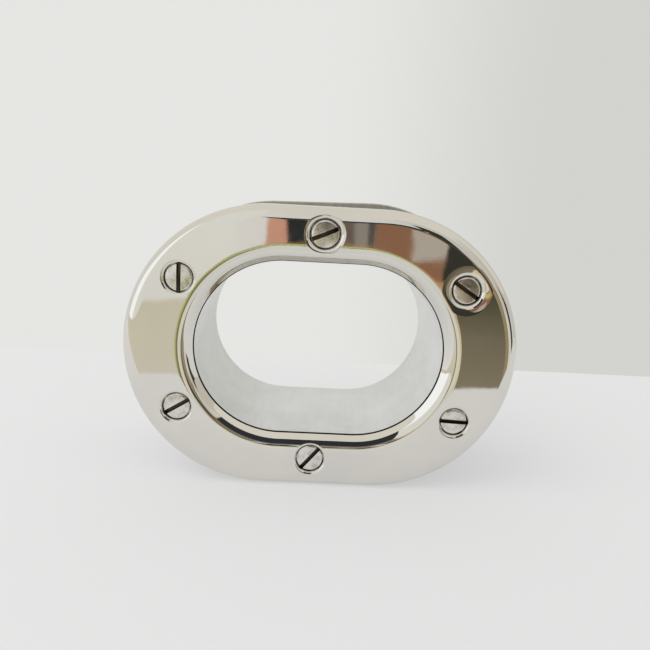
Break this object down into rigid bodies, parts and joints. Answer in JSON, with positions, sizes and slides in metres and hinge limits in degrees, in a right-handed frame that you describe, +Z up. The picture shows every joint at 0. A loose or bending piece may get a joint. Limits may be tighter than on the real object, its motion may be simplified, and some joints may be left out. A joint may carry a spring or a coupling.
{
  "type": "bulwark hawse pipe",
  "caption": "Oval through-bulwark hawse pipe: flat-faced, mirror-polished flanges with rolled mouths on a telescopic oval tube, clamped by slotted screws in barrel nuts.",
  "frame": {"origin": "on the floor that the outboard flange's flat lower edge stands on, below the middle of the rims; the tube's axis is 1 mm to the left of it", "axes": "+Y along the tube from the outboard face to the inboard face, +X to the right as the outboard face is seen, +Z up"},
  "size_m": [0.18, 0.0808, 0.1314],
  "materials": {
    "mirror_stainless": "mirror-polished stainless casting with fine polishing marks",
    "satin_stainless": "satin tube",
    "screw_stainless": "turned heads, lightly scratched, with dirt in the slots",
    "nut_stainless": "turned and lightly scratched"
  },
  "bodies": {
    "outboard_half": {"outboard_flange": "mirror_stainless", "outer_sleeve": "satin_stainless"},
    "inboard_half": {"inboard_flange": "mirror_stainless", "inner_liner": "satin_stainless", "barrel_nut_top": "nut_stainless", "barrel_nut_upper_right": "nut_stainless", "barrel_nut_lower_right": "nut_stainless", "barrel_nut_bottom": "nut_stainless", "barrel_nut_lower_left": "nut_stainless", "barrel_nut_upper_left": "nut_stainless"},
    "top_screw": {"screw_top": "screw_stainless"},
    "upper_right_screw": {"screw_upper_right": "screw_stainless"},
    "lower_right_screw": {"screw_lower_right": "screw_stainless"},
    "bottom_screw": {"screw_bottom": "screw_stainless"},
    "lower_left_screw": {"screw_lower_left": "screw_stainless"},
    "upper_left_screw": {"screw_upper_left": "screw_stainless"}
  },
  "joints": [
    {"name": "bulwark_slide", "type": "slide", "parent": "outboard_half", "child": "inboard_half", "axis": [0, 1, 0], "range_m": [0, 0.015]},
    {"name": "turn_top_screw", "type": "hinge", "parent": "outboard_half", "child": "top_screw", "pos_m": [-0.001, -0.03435, 0.1182], "axis": [0, -1, 0], "range_deg": [0, 4325]},
    {"name": "turn_upper_right_screw", "type": "hinge", "parent": "outboard_half", "child": "upper_right_screw", "pos_m": [0.0635, -0.03435, 0.0964], "axis": [0, -1, 0], "range_deg": [0, 4325]},
    {"name": "turn_lower_right_screw", "type": "hinge", "parent": "outboard_half", "child": "lower_right_screw", "pos_m": [0.0633, -0.03435, 0.0348], "axis": [0, -1, 0], "range_deg": [0, 4325]},
    {"name": "turn_bottom_screw", "type": "hinge", "parent": "outboard_half", "child": "bottom_screw", "pos_m": [-0.0028, -0.03435, 0.0137], "axis": [0, -1, 0], "range_deg": [0, 4325]},
    {"name": "turn_lower_left_screw", "type": "hinge", "parent": "outboard_half", "child": "lower_left_screw", "pos_m": [-0.065, -0.03435, 0.0364], "axis": [0, -1, 0], "range_deg": [0, 4325]},
    {"name": "turn_upper_left_screw", "type": "hinge", "parent": "outboard_half", "child": "upper_left_screw", "pos_m": [-0.0646, -0.03435, 0.0959], "axis": [0, -1, 0], "range_deg": [0, 4325]}
  ],
  "couplings": [
    {"joint": "turn_top_screw", "follows": "bulwark_slide", "rad_per_m": 5026.5},
    {"joint": "turn_upper_right_screw", "follows": "bulwark_slide", "rad_per_m": 5026.5},
    {"joint": "turn_lower_right_screw", "follows": "bulwark_slide", "rad_per_m": 5026.5},
    {"joint": "turn_bottom_screw", "follows": "bulwark_slide", "rad_per_m": 5026.5},
    {"joint": "turn_lower_left_screw", "follows": "bulwark_slide", "rad_per_m": 5026.5},
    {"joint": "turn_upper_left_screw", "follows": "bulwark_slide", "rad_per_m": 5026.5}
  ]
}
